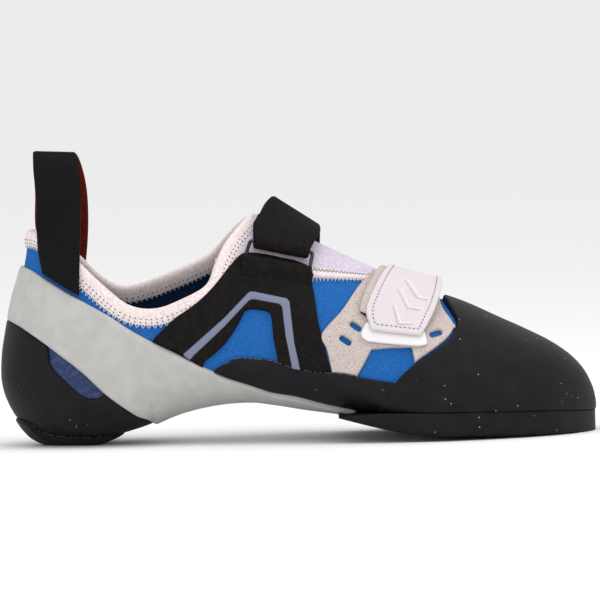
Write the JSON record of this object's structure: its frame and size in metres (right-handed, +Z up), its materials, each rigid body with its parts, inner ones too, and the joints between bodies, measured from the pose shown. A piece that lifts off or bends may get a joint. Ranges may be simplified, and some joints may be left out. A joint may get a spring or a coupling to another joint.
{
  "type": "climbing shoe",
  "caption": "Low rock climbing shoe for the right foot: stretch upper wrapped in rubber rands, a thin split sole, two strap closures over the instep and a webbing pull loop at the heel.",
  "frame": {"origin": "on the floor, under the middle of the shoe's bounding box", "axes": "+X from the heel to the toe, +Y towards the inner side of the foot, +Z up"},
  "size_m": [0.2548, 0.0913, 0.1262],
  "materials": {
    "blue_microfibre": "matte, finely speckled microfibre",
    "lilac_knit": "matte stretch knit",
    "pale_binding": "matte folded stretch tape",
    "grey_rubber": "satin sheet rubber",
    "black_rubber": "matte sheet rubber",
    "black_leather": "matte, fine grain",
    "pale_suede": "matte suede",
    "pale_leather": "satin smooth leather",
    "white_plastic": "satin moulded plastic",
    "black_webbing": "ribbed woven tape",
    "dark_wire": "dark plated wire",
    "insole_felt": "matte felt"
  },
  "bodies": {
    "root": {"upper": "blue_microfibre", "tongue": "lilac_knit", "collar_binding": "pale_binding", "insole": "insole_felt", "outsole_forefoot": "black_rubber", "outsole_heel": "black_rubber", "heel_rand": "black_rubber", "slingshot_rand": "grey_rubber", "side_rand_lateral": "black_rubber", "side_rand_medial": "black_rubber", "toe_cap": "black_rubber", "saddle_lateral": "black_leather", "saddle_medial": "black_leather", "strap_base": "pale_suede", "rear_strap": "black_webbing", "front_strap": "pale_leather", "strap_tab": "white_plastic", "ring": "dark_wire", "pull_loop": "black_webbing"}
  },
  "joints": []
}
